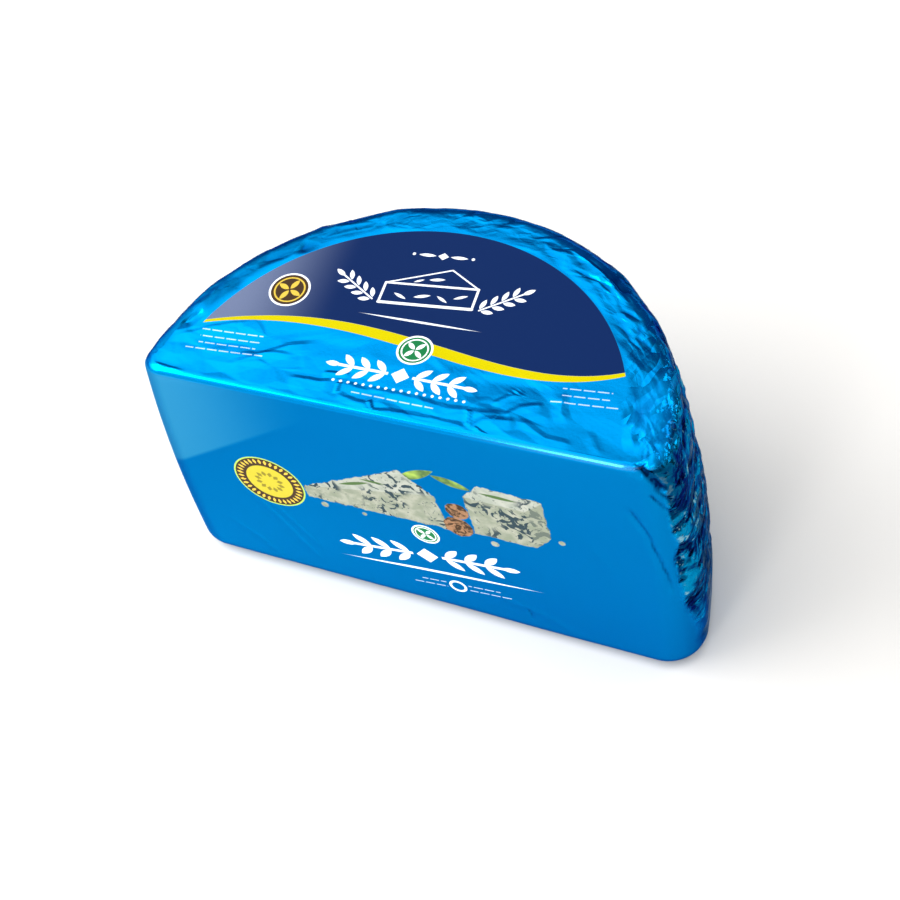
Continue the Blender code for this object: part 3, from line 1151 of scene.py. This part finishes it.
@dataclass(frozen=True)
class FoilFinish:
    """Blue lacquered foil, with the print that a panel carries."""

    panel: Panel
    ridge: Colour = (0.0, 0.335, 0.84)
    border: Colour = (0.0, 0.250, 0.63)
    border_left: Colour = (0.0, 0.180, 0.45)
    # painted shade: the darker blue of the hollows of crumpled foil
    valley: Colour = (0.0, 0.095, 0.34)
    # painted shade: the crumpled rim's darker ridges and hollows, standing for the dark surroundings it
    # mirrors
    deep_ridge: Colour = (0.002, 0.215, 0.44)
    deep_valley: Colour = (0.0, 0.030, 0.085)
    # silver where the lacquer is scuffed off, also used for painted glints on the rim's ridges
    worn: Colour = (0.24, 0.44, 0.52)
    front: Colour = (0.0, 0.195, 0.495)
    front_low: Colour = (0.0, 0.202, 0.510)
    front_left: Colour = (0.0, 0.245, 0.565)
    # painted sheen: a paler patch on the front's upper left, as a reflection would show
    front_haze: Colour = (0.064, 0.341, 0.612)
    # painted shade: dark lines along the creases, on the top and on the front
    crease: Colour = (0.0, 0.13, 0.44)
    front_crease: Colour = (0.0, 0.020, 0.09)
    foil_roughness: float = 0.20
    front_roughness: float = 0.40
    ink_roughness: float = 0.12  # added where ink covers the foil
    foil_metallic: float = 0.98
    specular: float = 0.06
    edge_tint: Colour = (0.0, 0.18, 0.34)  # what the lacquer leaves of a glancing reflection
    fold_shade: Colour = (0.0, 0.05, 0.17)
    fold_coat: float = 0.85
    coat_roughness: float = 0.12

    def material(self) -> bpy.types.Material:
        """Builds the finish: the foil's colours with painted shade in hollows, on the rim and along
        creases, wear with painted glints, print, and small facets.

        Returns:
            The panel's material.
        """
        material = bpy.data.materials.new(f"{self.panel.value}_finish")
        board = Board(material)
        x, y, z = board.axes(1 / MM)
        crumple, panel, deep, fold = (board.mark(name) for name in ("crumple", "panel", "deep", "fold"))
        on_top, on_front = self.panel is Panel.TOP, self.panel is Panel.FRONT
        # painted light: a patch at the top right corner lightened towards the ridge colour, and made
        # less metallic
        hazy = crumple * x.step(66.0, 78.0) * y.step(-8.0, -24.0)
        hazy = hazy * z.step(98.0, 106.0) * (1 - deep) * (1 - panel)

        colour = self._foil_colour(board, x, deep, crumple * (y.step(45.0, 5.0) * 0.5 + 0.5))
        # painted shade: a dark patch high on the rim near the front right corner
        shade = x.step(82.0, 86.5) * z.step(82.0, 98.0) * y.step(-34.0, -41.0)
        # a silvery patch on the rim: scuffed lacquer and a painted glint
        across, up = (y + 34.5) * 0.17, (z - 77.0) * 0.10
        rubbed_glint = (across * across + up * up).step(1.0, 0.3) * x.step(80.0, 85.0)
        low = board.mix(x.step(45.0, -55.0), self.front_low, self.front_left)
        front = board.mix(z.step(100.0, 5.0), self.front, low)
        if on_front:
            # painted sheen on the upper left of the front, with a straight slanted edge
            haze = x * -0.5795 + z * 0.8150 - 98.3
            front = board.mix(haze.step(-0.8, 1.2) * x.step(-24.0, -92.0), front, self.front_haze)
        strength = 0.40 if on_top else 0.65
        uneven = board.noise(330.0, 3.0).step(0.30, 0.62) * strength * 0.8 + strength * 0.65
        right = x.step(20.0, 75.0)
        for share, over in (
            (shade * deep * 0.7, self.deep_valley),
            (rubbed_glint * board.noise(420.0, 3.0).step(0.42, 0.58) * 0.8, self.worn),
            (hazy * 0.45, self.ridge),
            (panel, front),
            # painted shade along the creases
            (board.mark("crease") * uneven, self.crease if on_top else self.front_crease),
            (fold * (right * -0.25 + 0.50), self.fold_shade),
        ):
            colour = board.mix(share, colour, over)

        metallic = (1 - hazy * 0.5) * self.foil_metallic
        roughness = panel * (self.front_roughness - self.foil_roughness) + self.foil_roughness
        coat = fold * right * self.fold_coat
        if on_top or on_front:
            art = TopPrint() if on_top else FrontPrint()
            colour, cover = art.draw(Sheet(board, x, y if on_top else z), colour)
            metallic = (1 - cover) * metallic
            roughness = roughness + cover * self.ink_roughness
            coat = (1 - cover) * coat
        board.finish(
            "BsdfPrincipled",
            {
                "Base Color": colour,
                "Metallic": metallic,
                "Roughness": roughness,
                "Normal": self._facets(board, (x, y), crumple, deep),
                "Coat Weight": coat,
                "Coat Roughness": self.coat_roughness,
                "Specular IOR Level": self.specular,
                "Specular Tint": (*self.edge_tint, 1.0),
            },
        )
        return material

    def _facets(self, board: Board, flat: tuple[Wire, Wire], crumple: Wire, deep: Wire) -> Wire:
        """Facets too small for the mesh, as bump: long ones on the border, keen ones on the rim.

        Args:
            board: The material's nodes.
            flat: Place to the right and to the back, in mm.
            crumple: The mark of crumpled foil.
            deep: The mark of the rim.

        Returns:
            The surface's normal.
        """
        (x, y), around, run = flat, board.mark("around"), board.mark("run")
        corner = crumple * x.step(62.0, 76.0) * deep.step(0.5, 0.1)
        small = board.crushed(board.cells(around, run - around * 0.12, (4.6, 2.0)), 0.14)
        keen = board.crushed(board.cells(around + run * 0.3, run, (2.4, 2.0)), 0.26)
        shard = board.tilted(board.cells(x + y * -0.35, y + x * 0.35, (2.6, 7.0), 0.5), 1.7)
        chip = board.tilted(board.cells(around + run * 0.4, run, (4.2, 3.0), 0.6), 1.5)
        patchy = board.high(board.noise(45.0).step(0.40, 0.62) * 0.7 + 0.3, y.step(30.0, 5.0))
        relief = crumple * small * (0.45 + deep * 0.55) + deep * (patchy * keen + chip) + corner * shard
        relief = (relief + board.noise(900.0, 3.0, 0.6) * 0.02) * MM
        return board.wire("Bump", {}, {"Strength": 1.0, "Distance": 1.0, "Height": relief})

    def _foil_colour(self, board: Board, x: Wire, deep: Wire, crumple: Wire) -> Wire:
        """Foil colour with painted shade: darker blue in the hollows and on the rim, with random tone,
        and the rim's wear with painted glints.

        Args:
            board: The material's nodes.
            x: Place to the right, in mm.
            deep: The mark of the rim.
            crumple: How strongly the painted shade of the hollows shows.

        Returns:
            The colour.
        """
        hollow = board.mark("hollow")
        cloud = board.noise(120.0, 3.0, 0.5)
        # painted shade: hollows darkened, less at the back, with some random tone
        depth = (hollow.step(0.42, 0.78) * 0.9 + (cloud - 0.5) * 0.9) * crumple
        depth = board.high(board.low(depth + (cloud - 0.5) * 0.35, 1.0), 0.0)
        border = board.mix(x.step(20.0, -80.0), self.border, self.border_left)
        # the rim's ridges and hollows take the darker painted-shade colours
        ridge = board.mix(deep, board.mix(crumple, self.ridge, border), self.deep_ridge)
        valley = board.mix(deep, self.valley, self.deep_valley)
        # the rim's silvery ridge lines and specks: scuffed lacquer and painted glints
        worn = hollow.step(0.36, 0.12) * board.noise(240.0, 3.0).step(0.52, 0.64)
        glint_fleck = board.noise(620.0, 3.0, 1.5).step(0.60, 0.68) * cloud.step(0.40, 0.60)
        worn = board.high(worn, glint_fleck * 0.7) * deep * 0.8
        return board.mix(worn, board.mix(depth, ridge, valley), self.worn)


@dataclass(frozen=True)
class TopPrint:
    """Print of the top: a navy half round over a yellow band, with plain ornaments."""

    inks: Inks = Inks()
    middle: Pair = (-1.5, -47.3)
    turn: float = 4.0
    radius: float = 76.0

    def draw(self, panel: Sheet, colour: Wire) -> tuple[Wire, Wire]:
        """Lays the inks over the foil's colour.

        Args:
            panel: The top's coordinates.
            colour: The foil's colour.

        Returns:
            The colour with its inks, and how much of each point is inked.
        """
        board, inks = panel.board, self.inks
        sheet = panel.turned(*self.middle, self.turn)
        u, v = sheet.across, sheet.up
        swing = (u + 78.0) * (u - 29.4) * (u - 65.8) * (u * 0.0048 + 1) * 3.85e-5
        above = swing + 24.3 - v
        offset = (u - 5.5) * (1 / 66.0)
        thick = board.math("EXPONENT", offset * offset * -1.0) * 4.35
        inside = sheet.disc(0.0, 0.0, self.radius)
        navy = board.high(inside, above).ink()
        band = board.high(inside, -above, above - thick).ink()
        white = self._ornament(sheet)
        # the navy fades on the left into a painted sheen
        colour = board.mix(navy, colour, board.mix(u.step(-28.0, -66.0) * 0.85, inks.navy, inks.haze))
        colour = board.mix(white, board.mix(band, colour, inks.yellow), inks.white)
        colour, brown = round_badge(sheet.turned(-47.0, 43.7, 20.0), colour, 7.2, inks.brown, inks.gold)
        colour, green = round_badge(sheet.turned(3.8, 25.1), colour, 6.0, inks.green, inks.white)
        return colour, board.high(navy, band, white, brown, green)

    def _ornament(self, sheet: Sheet) -> Wire:
        """The white drawings: a wedge between two sprigs, a garland, and rules in a paler ink.

        Args:
            sheet: The print's coordinates.

        Returns:
            How much white ink covers each point.
        """
        board = sheet.board
        middle = sheet.turned(1.0, 48.6)
        mirrored = Sheet(board, abs(middle.across), middle.up)
        shapes = board.low(
            wedge_drawing(middle.turned(0.0, 1.6)),
            sprig_drawing(mirrored.turned(18.5, -4.5, 34.0)),
            mirrored.across * 0.8 + abs(middle.up - 16.6) - 1.5,
            mirrored.leaf(5.6, 16.6, 6.0, 1.3),
            mirrored.disc(10.4, 16.6, 0.55),
            tapered_rule(sheet.turned(1.5, 36.6, -3.0), 20.0, 0.8),
            garland(sheet.turned(2.5, 14.2, -4.0), 27.0, 5.6),
            beads(sheet.turned(3.5, 8.4, -2.4), 23.0),
        )
        blocks = board.low(
            ruled_block(sheet.turned(3.0, 4.4, -4.5), 14.0, 1.35),
            ruled_block(sheet.turned(-59.5, 18.7), 14.0, 5.4),
            ruled_block(sheet.turned(62.0, 15.0, 1.0), 11.0, 4.1),
        )
        return board.high(shapes.ink(), blocks.ink() * 0.58)


def wedge_drawing(sheet: Sheet) -> Wire:
    """Line drawing of a wedge of cheese about 32 mm wide: its top, its side, and veins as leaves.

    Args:
        sheet: Coordinates with the drawing's middle at their origin.

    Returns:
        The drawing's distance.
    """
    tip, back, right, drop = (-16.0, 1.5), (5.0, 9.5), (16.0, 2.5), 8.5
    low_tip, low_right = ((x, y - drop) for x, y in (tip, right))
    strokes = (
        (tip, back, 0.5), (back, right, 0.5), (tip, right, 0.8), (tip, low_tip, 0.8),
        (right, low_right, 0.8), (low_tip, low_right, 1.1),
    )
    veins = (
        (-9.5, -3.6, 5.0, -24), (-2.0, -2.8, 5.6, 14), (5.0, -3.2, 4.6, -30), (11.0, -1.6, 4.8, 22),
        (1.0, 4.8, 5.4, 8), (-5.0, 3.6, 3.6, 24),
    )
    leaves = (sheet.leaf(x, y, long, 0.22 * long, turn) for x, y, long, turn in veins)
    return sheet.board.low(*(sheet.stroke(*stroke) for stroke in strokes), *leaves)


def sprig_drawing(sheet: Sheet, pitch: float = 3.8, pairs: int = 4) -> Wire:
    """A sprig: a stem with a pair of leaves every pitch and one at its end.

    Args:
        sheet: Coordinates with the sprig's foot at their origin.
        pitch: Distance from one pair of leaves to the next.
        pairs: Number of pairs.

    Returns:
        The sprig's distance.
    """
    stem = sheet.stroke((0.0, 0.0), (pitch * pairs, 0.0), 0.55)
    leaf = sheet.paired(sheet.across, pitch).leaf(2.1, 1.9, 4.2, 1.6, 38.0)
    leaves = sheet.board.high(leaf, -sheet.across, sheet.across - pitch * pairs)
    return sheet.board.low(stem, leaves, sheet.leaf(pitch * pairs + 2.0, 0.0, 4.4, 1.7))


def garland(sheet: Sheet, half: float, pitch: float) -> Wire:
    """Two leafy branches that run from a diamond in the middle out to both sides.

    Args:
        sheet: Coordinates with the garland's middle at their origin.
        half: Half its length.
        pitch: Distance from one pair of leaves to the next.

    Returns:
        The garland's distance.
    """
    board = sheet.board
    out = abs(sheet.across) - pitch * 0.75
    stem = board.high(abs(sheet.up) - pitch * 0.09, -out, out - (half - pitch * 1.6))
    leaf = sheet.paired(out, pitch).leaf(pitch * 0.56, pitch * 0.42, pitch * 1.05, pitch * 0.40, 42.0)
    count = round((half - pitch * 1.5) / pitch)
    leaves = board.high(leaf, -out, out - pitch * count)
    tip = Sheet(board, out, sheet.up).leaf(pitch * (count + 0.45), 0.0, pitch * 0.9, pitch * 0.36)
    return board.low(stem, leaves, tip, abs(sheet.across) + abs(sheet.up) - pitch * 0.55)


def tapered_rule(sheet: Sheet, half: float, thick: float) -> Wire:
    """A straight rule, thickest in its middle and pointed at its ends."""
    share = sheet.across * (1 / half)
    return abs(sheet.up) - (1 - share * share) * (thick / 2)


def beads(sheet: Sheet, half: float, pitch: float = 2.6) -> Wire:
    """A straight row of round beads.

    Args:
        sheet: Coordinates with the row's middle at their origin.
        half: Half its length.
        pitch: Distance from one bead to the next.

    Returns:
        The row's distance.
    """
    along = sheet.board.math("FLOORED_MODULO", sheet.across, pitch) - pitch / 2
    bead = Sheet(sheet.board, along, sheet.up).disc(0.0, 0.0, 0.5)
    return sheet.board.high(bead, abs(sheet.across) - half)


def ruled_block(sheet: Sheet, half: float, tall: float) -> Wire:
    """Thin broken rules in rows.

    Args:
        sheet: Coordinates with the block's middle at their origin.
        half: Half the block's width.
        tall: Half its height.

    Returns:
        The rules' distance.
    """
    board = sheet.board
    pitch, dash = 2.7, 4.3
    row = board.math("FLOOR", (sheet.up + tall) * (1 / pitch))
    line = abs(board.math("FLOORED_MODULO", sheet.up + tall, pitch) - pitch / 2) - 0.20
    gap = 0.40 - abs(board.math("FLOORED_MODULO", sheet.across + row * 1.9, dash) - dash / 2)
    ends = abs(sheet.across) - (half - board.math("FLOORED_MODULO", row * 3.7, 4.1))
    return board.high(line, gap, ends, abs(sheet.up) - tall)


def round_badge(
    sheet: Sheet, colour: Wire, radius: float, ground: Colour, figure: Colour
) -> tuple[Wire, Wire]:
    """A plain round badge: a white edge, a coloured ground, and a ring round four petals.

    Args:
        sheet: Coordinates with the badge's middle at their origin.
        colour: The colour under the badge.
        radius: The badge's radius.
        ground: Colour of its ground.
        figure: Colour of its ring and petals.

    Returns:
        The colour with the badge on it, and how much of each point the badge covers.
    """
    board, away = sheet.board, sheet.away()
    disc = (away - radius).ink()
    quarter = Sheet(board, abs(sheet.across), abs(sheet.up))
    petal = quarter.leaf(0.26 * radius, 0.26 * radius, 0.62 * radius, 0.26 * radius, 45.0)
    ring = abs(away - 0.72 * radius) - 0.04 * radius
    colour = board.mix((away - (radius - 0.7)).ink(), board.mix(disc, colour, Inks().white), ground)
    return board.mix(board.low(petal, ring).ink(), colour, figure), disc


@dataclass(frozen=True)
class FrontPrint:
    """Print of the front: cut cheese with nuts and leaves, a gold seal and plain ornaments."""

    inks: Inks = Inks()
    middle: Pair = (4.0, 36.0)
    turn: float = 8.5

    def draw(self, panel: Sheet, colour: Wire) -> tuple[Wire, Wire]:
        """Lays the inks over the panel's colour.

        Args:
            panel: The front's coordinates.
            colour: The panel's colour.

        Returns:
            The colour with its inks, and how much of each point is inked.
        """
        board, inks = panel.board, self.inks
        sheet = panel.turned(*self.middle, self.turn)
        colour, seal = self._seal(sheet.turned(-52.2, 30.7), colour)
        colour, cheese = self._cheese(sheet, colour)
        from_ring = sheet.away(7.0, -17.0)
        bold = board.low(
            garland(sheet, 36.0, 7.6),
            tapered_rule(sheet.turned(2.0, -9.6, -1.5), 38.0, 1.3),
            abs(from_ring - 2.9) - 0.5,
        )
        small = board.high(ruled_block(sheet.turned(8.5, -17.0, -1.0), 19.0, 2.7), 4.6 - from_ring)
        white = board.high(bold.ink(), small.ink() * 0.72)
        colour = board.mix(white, colour, inks.white)
        colour, badge = round_badge(sheet.turned(3.5, 13.5), colour, 5.2, inks.green, inks.white)
        return colour, board.high(seal, cheese, white, badge)

    def _seal(self, sheet: Sheet, colour: Wire) -> tuple[Wire, Wire]:
        """The gold seal: a lime edge, a brown ring with gold beads, and a lemon disc with rays.

        Args:
            sheet: Coordinates with the seal's middle at their origin.
            colour: The colour under the seal.

        Returns:
            The colour with the seal on it, and how much of each point the seal covers.
        """
        board, inks = sheet.board, self.inks
        away = sheet.away()
        angle = board.math("ARCTAN2", sheet.up, sheet.across)
        beading = board.math("SINE", angle * 34.0) * 0.9 + 0.35
        rays = board.math("SINE", angle * 12.0) * 0.5 + 0.5
        cover = (away - 13.6).ink()
        for share, ink in (
            (cover, inks.lime),
            ((away - 13.0).ink(), inks.brown),
            ((abs(away - 11.2) - beading).ink(), inks.gold),
            ((away - 9.3).ink(), inks.brown),
            ((away - 8.9).ink(), inks.lemon),
            ((abs(away - 4.4) - rays * 1.3).ink(0.4) * 0.6, inks.brown),
        ):
            colour = board.mix(share, colour, ink)
        return colour, cover

    def _cheese(self, sheet: Sheet, colour: Wire) -> tuple[Wire, Wire]:
        """Pictured cheese: a wedge, a block and crumbs, with two nuts and some leaves.

        Args:
            sheet: The print's coordinates.
            colour: The panel's colour.

        Returns:
            The colour with the picture, and how much of each point it covers.
        """
        board, inks = sheet.board, self.inks
        ragged = (board.noise(420.0, 3.0) - 0.5) * 2.4
        patch = board.noise(62.0, 1.0).step(0.40, 0.52)
        vein = board.noise(190.0, 6.0, 2.0).step(0.53, 0.57) * patch
        marks = board.high(vein, board.noise(520.0).step(0.64, 0.70) * 0.6)
        paste = board.mix(board.noise(260.0, 4.0, 0.4).step(0.30, 0.75), inks.cream_dark, inks.cream)
        veined = board.mix(marks, paste, inks.vein)
        pale = board.mix(marks, board.mix(0.12, paste, inks.white), inks.vein)
        wrinkle = board.noise(330.0, 3.0, 1.5).step(0.42, 0.60)
        rib = board.low(abs(board.noise(150.0) - 0.5) * 3.0, 1.0)

        wedge = sheet.tile((-38.0, 25.5), (14.0, 19.0), (14.0, 37.0), (4.0, 48.5), (-38.0, 31.5))
        wedge_top = sheet.tile((-39.0, 31.5), (16.0, 37.5), (5.0, 51.0), (-39.0, 36.0))
        block = sheet.tile(
            (24.0, 19.5), (45.0, 16.5), (52.0, 23.0), (53.0, 43.0), (32.0, 46.5), (25.0, 39.5)
        )
        block_top = sheet.tile((24.0, 39.5), (46.0, 36.5), (54.0, 43.0), (32.0, 48.5))
        block_end = sheet.tile((45.0, 15.0), (54.0, 21.0), (54.0, 43.0), (46.0, 36.5))
        cut = board.low(wedge, block) + ragged
        spots = ((-33.0, 22.0, 1.4), (-18.0, 20.0, 1.0), (30.0, 15.0, 1.5), (55.5, 22.0, 1.2))
        crumbs = board.low(*(sheet.disc(*spot) for spot in spots)) + ragged * 0.4
        nuts = board.low(sheet.disc(18.4, 21.5, 5.2), sheet.disc(20.4, 30.6, 4.2)) + ragged * 0.6
        leaves = board.low(
            sheet.leaf(10.0, 47.5, 17.0, 4.2, 24.0), sheet.leaf(22.5, 46.0, 14.0, 3.6, -22.0)
        )
        blades = (
            (-16.0, 37.5, 13.0, 1.6, 14.0), (-8.0, 40.0, 9.0, 1.2, -8.0), (38.0, 42.0, 13.0, 1.6, -8.0),
        )
        needles = board.low(*(sheet.leaf(*blade) for blade in blades))
        for shape, ink in (
            (leaves, board.mix(rib, inks.herb, inks.lime)),
            (cut, veined),
            (board.high(cut, board.low(wedge_top, block_top)), pale),
            (board.high(cut, block_end), board.mix(0.45, veined, inks.cream_dark)),
            (crumbs, paste),
            (needles, inks.herb),
            (nuts, board.mix(wrinkle, inks.brown, inks.nut)),
        ):
            colour = board.mix(shape.ink(0.3), colour, ink)
        return colour, board.low(cut, crumbs, nuts, leaves, needles).ink(0.3)


# --- Studio ---


@dataclass(frozen=True)
class Softbox:
    """A studio light, a lit rectangle that faces the half wheel."""

    name: str
    place: tuple[float, float, float]
    side: float
    tall: float
    power: float
    target: tuple[float, float, float] = (0.0, 0.0, 0.05)

    def build(self) -> None:
        """Hangs the light at its place and turns it towards its target."""
        light = bpy.data.lights.new(self.name, "AREA")
        light.shape = "RECTANGLE"
        light.size, light.size_y, light.energy = self.side, self.tall, self.power
        lamp = new_object(self.name, light)
        lamp.location = self.place
        way = Vector(self.target) - Vector(self.place)
        lamp.rotation_euler = way.to_track_quat("-Z", "Y").to_euler()


@dataclass(frozen=True)
class Studio:
    """Pale floor, soft lights and the camera at the photograph's angle."""

    wheel: HalfWheel = HalfWheel()
    floor_side: float = 6.0
    floor_steps: int = 12
    floor_colour: Colour = (0.76, 0.74, 0.71)
    floor_cloud: Colour = (0.71, 0.695, 0.67)
    floor_roughness: float = 0.9
    # painted shadow: darkens the floor along the half wheel's foot
    contact: float = 0.42  # how much darker the floor is right under the half wheel's edge
    contact_colour: Colour = (0.02, 0.02, 0.02)
    wall_radius: float = 2.9
    wall_height: float = 2.6
    wall_steps: int = 64
    wall_glow: float = 1.05
    wall_colour: Colour = (1.0, 1.0, 1.0)
    wall_cloud: Colour = (0.97, 0.97, 0.97)
    near_tint: Colour = (1.0, 1.0, 1.0)
    far_tint: Colour = (0.30, 0.80, 1.60)  # of the room's light from behind the half wheel
    room_light: float = 1.9
    room_shade: float = 0.16  # the least light that the room gives
    lens: float = 55.983
    sensor: float = 36.0
    camera_place: tuple[float, float, float] = (0.158562, -0.265644, 0.446524)
    azimuth: float = 32.324
    elevation: float = 53.371
    roll: float = -13.850
    nearest_seen: float = 0.01
    softboxes: tuple[Softbox, ...] = (
        Softbox("key_softbox", (-1.25, -0.40, 0.95), 1.4, 1.4, 22.0),
        Softbox("strip_softbox", (-0.24, -1.30, 0.66), 0.30, 1.2, 6.0),
        Softbox("fill_softbox", (0.90, -1.15, 0.95), 0.9, 0.9, 5.5),
        Softbox("side_softbox", (0.95, 0.72, 0.80), 0.60, 0.50, 3.2),
    )

    def build(self) -> None:
        """Sets up the whole studio."""
        self._floor()
        self._wall()
        self._world()
        self._camera()
        for softbox in self.softboxes:
            softbox.build()
        bpy.context.scene.view_settings.view_transform = "Standard"

    def _staged(
        self, name: str, finish: str, point: np.ndarray, quads: np.ndarray
    ) -> tuple[bpy.types.Object, Board]:
        """Makes a part of the stage from its points and faces.

        Args:
            name: Its name.
            finish: Name of its material.
            point: Points.
            quads: Four points for each face.

        Returns:
            Its object, and the nodes of its material.
        """
        mesh = bpy.data.meshes.new(name)
        mesh.from_pydata(point, [], quads.tolist())
        material = bpy.data.materials.new(finish)
        mesh.materials.append(material)
        thing = new_object(name, mesh)
        return thing, Board(material)

    def _floor(self) -> None:
        """A wide pale floor, a little uneven in tone, with a painted shadow along the half wheel's foot.

        The foot is a D-shaped outline with rounded corners: the distance past its straight front and
        past its round rim, each counted from a corner's radius inside it.
        """
        row = np.linspace(-self.floor_side / 2, self.floor_side / 2, self.floor_steps + 1)
        across, back = np.meshgrid(row, row)
        index = np.arange(across.size).reshape(across.shape)
        quads = np.stack([index[:-1, :-1], index[:-1, 1:], index[1:, 1:], index[1:, :-1]], axis=-1)
        point = np.stack([across, back, 0 * across], axis=2).reshape(-1, 3)
        _, board = self._staged("studio_floor", "pale_floor", point, quads.reshape(-1, 4))
        sheet = Sheet(board, *board.axes(1 / MM)[:2])
        wheel, front = self.wheel, CAD_BOX[0][1] / MM
        corner, middle = wheel.corner_base / MM, front + wheel.front_offset / MM
        rim = sheet.disc(0.0, middle, wheel.level_radius(0.0) / MM)
        past_rim = board.high(rim + corner, 0.0)
        past_front = board.high(front + corner - sheet.up, 0.0)
        outside = board.length(past_rim, past_front) - corner
        colour = board.mix(board.noise(3.0) * 0.06, self.floor_colour, self.floor_cloud)
        # painted shadow along the half wheel's foot
        colour = board.mix(outside.step(1.5, -4.0) * self.contact, colour, self.contact_colour)
        board.finish("BsdfPrincipled", {"Base Color": colour, "Roughness": self.floor_roughness})

    def _wall(self) -> None:
        """A white wall round the floor. Only the camera sees it: it lights and mirrors nothing."""
        turn = np.linspace(0, 2 * math.pi, self.wall_steps + 1)[:-1]
        x, y = self.wall_radius * np.cos(turn), self.wall_radius * np.sin(turn)
        low = np.column_stack([x, y, 0 * turn])
        point = np.concatenate([low, low + (0, 0, self.wall_height)])
        near = np.arange(turn.size)
        far = np.roll(near, -1)
        quads = np.column_stack([far, near, near + turn.size, far + turn.size])
        wall, board = self._staged("studio_wall", "white_wall", point, quads)
        wall.visible_diffuse = wall.visible_glossy = wall.visible_shadow = False
        colour = board.mix(board.noise(1.5), self.wall_colour, self.wall_cloud)
        board.finish("Emission", {"Color": colour, "Strength": self.wall_glow})

    def _world(self) -> None:
        """Room light: bright above, and darker towards the sides and the right."""
        world = bpy.data.worlds.new("studio_room")
        bpy.context.scene.world = world
        board = Board(world, "Generated")
        x, y, _ = board.axes()
        cloud = board.noise(2.6) * 0.8 + 0.60
        bright = board.high(x.step(0.55, -0.75) * y.step(0.80, 0.40), y.step(0.10, -0.50) * 0.55)
        colour = board.mix(y.step(0.56, 0.92), self.near_tint, self.far_tint)
        strength = bright * cloud * self.room_light + self.room_shade
        board.finish("Background", {"Color": colour, "Strength": strength}, "OutputWorld")

    def _camera(self) -> None:
        """The camera, turned by its azimuth, elevation and roll."""
        azimuth, elevation, roll = np.radians((self.azimuth, self.elevation, self.roll))
        flat = Vector((-math.sin(azimuth), math.cos(azimuth), 0.0))
        ahead = flat * math.cos(elevation) - Vector((0.0, 0.0, math.sin(elevation)))
        level_right = Vector((math.cos(azimuth), math.sin(azimuth), 0.0))
        level_up = level_right.cross(ahead)
        right = math.cos(roll) * level_right + math.sin(roll) * level_up
        up = -math.sin(roll) * level_right + math.cos(roll) * level_up
        data = bpy.data.cameras.new("photo_camera")
        data.lens, data.sensor_width, data.clip_start = self.lens, self.sensor, self.nearest_seen
        camera = new_object("photo_camera", data)
        turn = Matrix((right, up, -ahead)).transposed().to_4x4()
        camera.matrix_world = Matrix.Translation(self.camera_place) @ turn
        bpy.context.scene.camera = camera


def main() -> None:
    """Builds the foil and the studio."""
    logging.basicConfig(level=logging.INFO, format="%(name)s: %(message)s")
    wrap = FoilWrap()
    for panel in Panel:
        piece = wrap.cut(panel)
        piece.data.materials.append(FoilFinish(panel).material())
        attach(piece, BODY)
        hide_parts(NODE)
        log.info("%s: %d faces", piece.name, len(piece.data.polygons))
    Studio().build()


if __name__ == "__main__":
    main()
